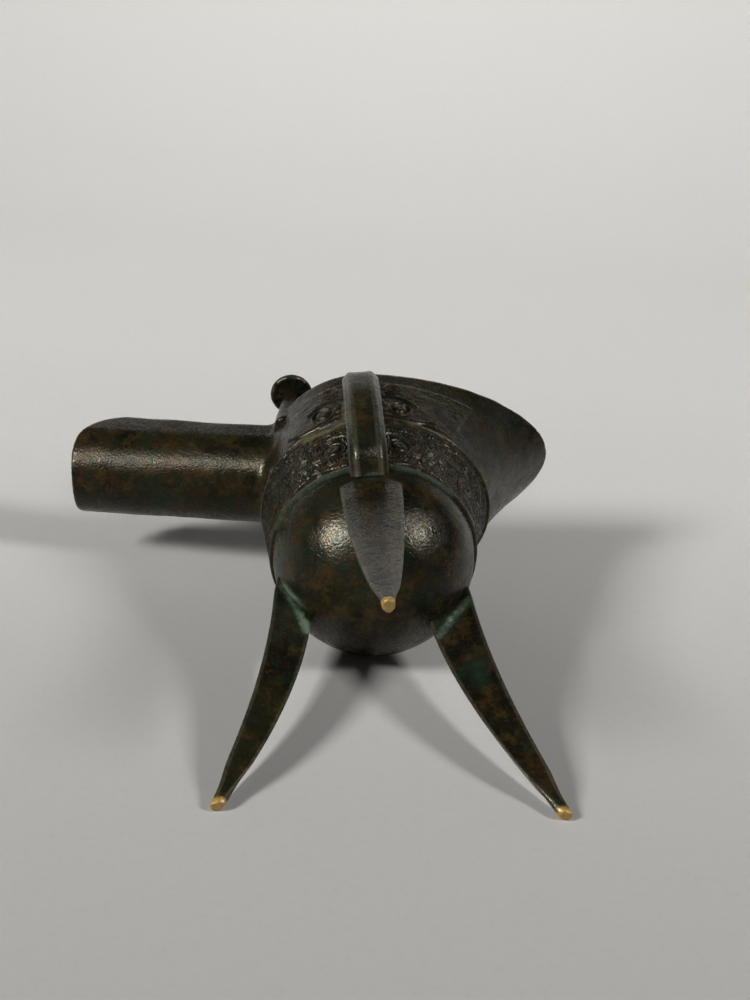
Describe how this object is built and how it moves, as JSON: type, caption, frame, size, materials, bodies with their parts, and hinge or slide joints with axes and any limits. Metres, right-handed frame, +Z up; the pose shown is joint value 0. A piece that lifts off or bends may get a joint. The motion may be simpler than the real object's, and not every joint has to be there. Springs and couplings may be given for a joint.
{
  "type": "bronze jue vessel",
  "caption": "Spouted bronze cup for warming wine, on splayed blade legs, with a pointed tail, capped posts and a strap handle.",
  "frame": {"origin": "middle of the vessel's footprint in plan, in the plane the feet stand on", "axes": "+Z up out of the mouth; -X along the spout, +X along the tail; the handle is on the -Y side"},
  "size_m": [0.1656, 0.0808, 0.1815],
  "materials": {
    "patinated_bronze": "satin dark brown and green patina on cast bronze"
  },
  "bodies": {
    "root": {"jue_vessel": "patinated_bronze"}
  },
  "joints": []
}
